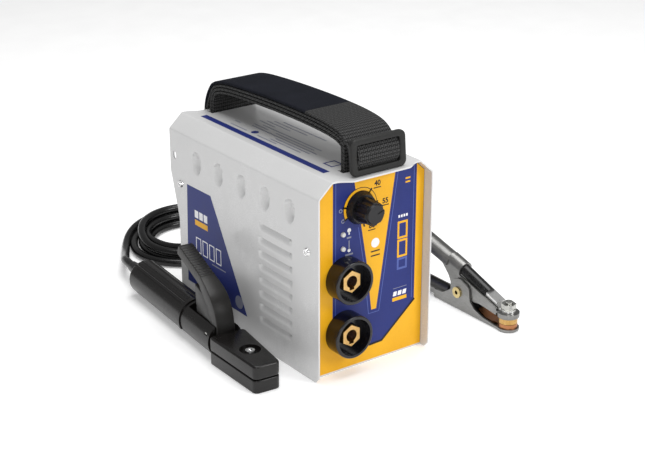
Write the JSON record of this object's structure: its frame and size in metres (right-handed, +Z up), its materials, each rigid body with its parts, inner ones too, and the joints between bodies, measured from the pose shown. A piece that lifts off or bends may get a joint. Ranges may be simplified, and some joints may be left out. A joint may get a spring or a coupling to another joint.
{
  "type": "stick welder",
  "caption": "Portable stick welder with a folded metal case, carrying strap, welding sockets and current knob, with its electrode holder and earth clamp on coiled leads.",
  "frame": {"origin": "middle of the underside of the base tray, on the surface the machine stands on", "axes": "+Z up, the front panel with the sockets faces -Y, +X to the right seen from the front"},
  "size_m": [0.2419, 0.3518, 0.181],
  "materials": {
    "case_paint": "silver-grey powder coat, fine texture",
    "panel_plastic": "black powder coat",
    "front_film": "printed polycarbonate film",
    "side_film": "printed film",
    "screw_chrome": "bright zinc",
    "gloss_black": "moulded, semi-gloss",
    "knob_black": "moulded, satin",
    "brass": "machined",
    "zinc_steel": "zinc plated",
    "brass_plated": "yellow passivated zinc",
    "led_lens": "clear diffused lens",
    "board_green": "solder mask",
    "fan_black": "moulded",
    "fin_aluminium": "extruded, plain",
    "capacitor_sleeve": "shrink sleeve",
    "ferrite": "sintered",
    "copper_wire": "enamelled wire",
    "copper": "bare copper",
    "tinned_copper": "tinned",
    "webbing": "woven polyester webbing",
    "buckle_black": "moulded",
    "holder_black": "glass-filled nylon, satin",
    "lever_black": "glass-filled nylon, matt",
    "clamp_steel": "stamped, zinc plated",
    "lead_rubber": "extruded rubber"
  },
  "bodies": {
    "root": {"cover": "case_paint", "base_tray": "case_paint", "front_panel": "panel_plastic", "front_label": "front_film", "rear_panel": "panel_plastic", "cover_screws": "screw_chrome", "cover_labels": "side_film", "upper_socket_housing": "gloss_black", "lower_socket_housing": "gloss_black", "upper_socket_contact": "brass", "lower_socket_contact": "brass", "panel_nuts": "zinc_steel", "potentiometer_body": "zinc_steel", "indicator_leds": "led_lens", "control_board": "board_green", "fan_frame": "fan_black", "power_switch_body": "gloss_black", "mains_gland": "fan_black", "main_board": "board_green", "board_standoffs": "brass", "heatsink": "fin_aluminium", "power_semiconductors": "fan_black", "capacitors": "capacitor_sleeve", "transformer_core": "ferrite", "transformer_winding": "copper_wire", "output_choke": "ferrite", "busbars": "copper", "strap_inner_webbing": "webbing", "strap_outer_webbing": "webbing", "strap_buckle": "buckle_black", "holder_handle": "holder_black", "holder_lower_insulator": "holder_black", "holder_lower_jaw": "brass", "holder_pivot_pin": "zinc_steel", "holder_spring": "zinc_steel", "holder_strain_relief": "lead_rubber", "clamp_lower_arm": "clamp_steel", "clamp_rivet": "brass_plated", "clamp_spring": "zinc_steel", "clamp_lower_contact": "copper", "electrode_lead": "lead_rubber", "electrode_lead_coil": "lead_rubber", "earth_lead": "lead_rubber", "earth_lead_coil": "lead_rubber", "connector_bodies": "lead_rubber", "connector_pins": "brass"},
    "fan_rotor_body": {"fan_rotor": "fan_black"},
    "knob_body": {"control_knob": "knob_black", "potentiometer_shaft": "zinc_steel"},
    "rocker_body": {"power_switch_rocker": "gloss_black"},
    "holder_lever_body": {"holder_lever": "lever_black", "holder_upper_insulator": "holder_black", "holder_upper_jaw": "brass", "holder_screw": "screw_chrome"},
    "clamp_upper_body": {"clamp_upper_arm": "clamp_steel", "clamp_upper_contact": "brass", "clamp_bolt": "zinc_steel", "clamp_lug": "tinned_copper", "clamp_sleeve": "lead_rubber", "clamp_cable": "lead_rubber"}
  },
  "joints": [
    {"name": "fan_spin", "type": "hinge", "parent": "root", "child": "fan_rotor_body", "pos_m": [0, 0.07, 0.048], "axis": [0, 1, 0], "continuous": true},
    {"name": "current_knob_turn", "type": "hinge", "parent": "root", "child": "knob_body", "pos_m": [-0.0085, -0.0887, 0.1214], "axis": [0, 1, 0], "range_deg": [-135, 135]},
    {"name": "power_switch_tip", "type": "hinge", "parent": "root", "child": "rocker_body", "pos_m": [-0.024, 0.0829, 0.117], "axis": [0, 0, 1], "range_deg": [0, 16]},
    {"name": "holder_lever_press", "type": "hinge", "parent": "root", "child": "holder_lever_body", "pos_m": [-0.07866, -0.01621, 0.018], "axis": [-0.9969, 0.0785, 0], "range_deg": [0, 15], "stiffness_Nm_per_rad": 2, "springref_deg": -20.05, "deforming": ["holder_spring"]},
    {"name": "clamp_squeeze", "type": "hinge", "parent": "root", "child": "clamp_upper_body", "pos_m": [0.1185, -0.0585, 0.0144], "axis": [-1, 0, 0], "range_deg": [0, 17], "stiffness_Nm_per_rad": 3, "springref_deg": -20.05}
  ]
}
